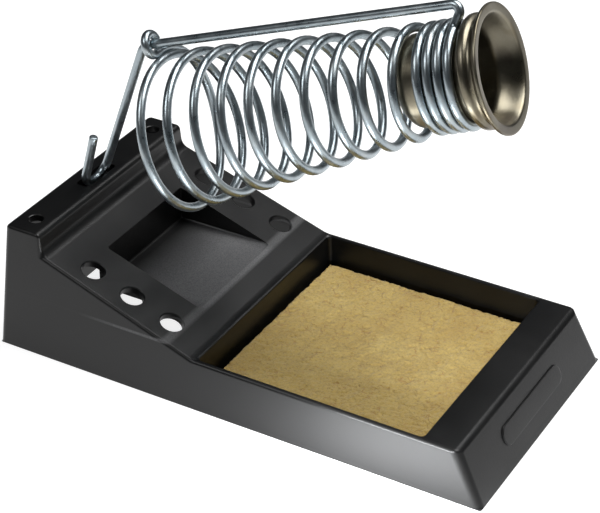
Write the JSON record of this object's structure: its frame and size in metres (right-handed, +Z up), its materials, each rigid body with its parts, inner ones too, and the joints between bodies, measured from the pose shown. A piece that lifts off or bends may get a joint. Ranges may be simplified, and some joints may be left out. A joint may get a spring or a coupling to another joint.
{
  "type": "soldering iron stand",
  "caption": "Bench stand for a soldering iron: moulded base with sponge tray, spare-tip holes and ramp recess, and a plug-in coiled wire holder with a flanged metal mouth.",
  "frame": {"origin": "middle of the base's footprint, on the table", "axes": "+X from the platform towards the sponge tray and front face, +Y across, +Z up"},
  "size_m": [0.184, 0.095, 0.1398],
  "materials": {
    "base_plastic": "black compression-moulded plastic, matte with a soft sheen",
    "zinc_wire": "bright zinc-plated steel wire, faintly blue",
    "mouthpiece_metal": "drawn steel with a warm grey nickel plate, satin",
    "sponge": "tan cellulose sponge, dry, crumbly surface with open pores"
  },
  "bodies": {
    "stand": {"base": "base_plastic"},
    "sponge": {"sponge": "sponge"},
    "holder": {"holder_foot": "zinc_wire", "support_arm": "zinc_wire", "top_rail": "zinc_wire", "rail_hook": "zinc_wire", "guard_coil": "zinc_wire", "grip_coil": "zinc_wire", "coil_eye": "zinc_wire", "mouthpiece": "mouthpiece_metal"}
  },
  "joints": [
    {"name": "sponge_lift", "type": "slide", "parent": "stand", "child": "sponge", "axis": [0, 0, 1], "range_m": [0, 0.04]},
    {"name": "holder_unplug", "type": "slide", "parent": "stand", "child": "holder", "axis": [0, 0, 1], "range_m": [0, 0.03]}
  ]
}
